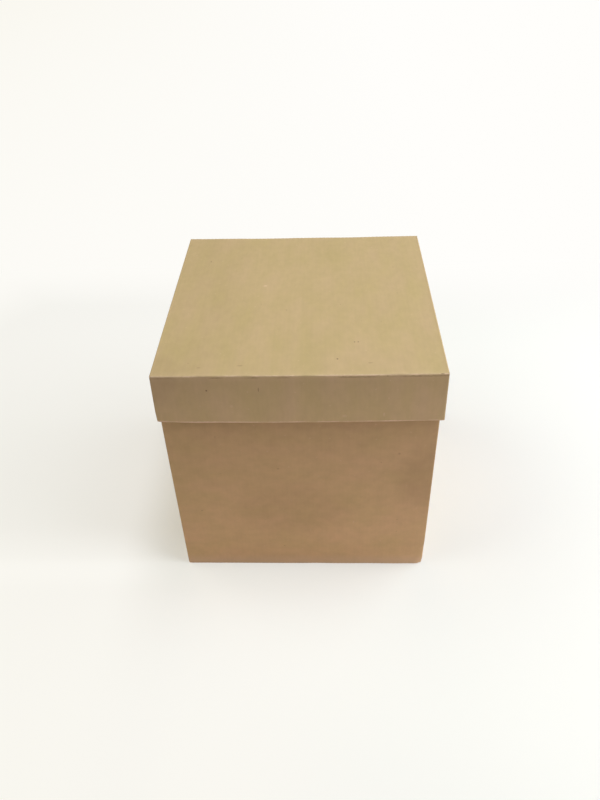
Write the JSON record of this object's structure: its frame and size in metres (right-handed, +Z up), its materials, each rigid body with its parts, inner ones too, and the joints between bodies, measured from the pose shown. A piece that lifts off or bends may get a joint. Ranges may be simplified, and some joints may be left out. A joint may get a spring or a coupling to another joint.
{
  "type": "lift-off-lid cardboard box",
  "caption": "Closed cube-shaped kraft cardboard box: a deep folded tray with a shallow lift-off lid that slides down over it and rests on its rim.",
  "frame": {"origin": "centre of the base's underside, on the surface that the box stands on", "axes": "+Z up through the lid; +Y from the front wall to the rear wall; +X to the right of someone who faces the front; the glued front and rear walls face -Y and +Y"},
  "size_m": [0.2, 0.203, 0.2],
  "materials": {
    "base_board": "uncoated kraft liner, matt, warm brown",
    "lid_board": "uncoated kraft liner, matt, yellower and paler than the base"
  },
  "bodies": {
    "base": {"base": "base_board"},
    "lid": {"lid": "lid_board"}
  },
  "joints": [
    {"name": "lid_lift", "type": "slide", "parent": "base", "child": "lid", "axis": [0, 0, 1], "range_m": [0, 0.08]}
  ]
}
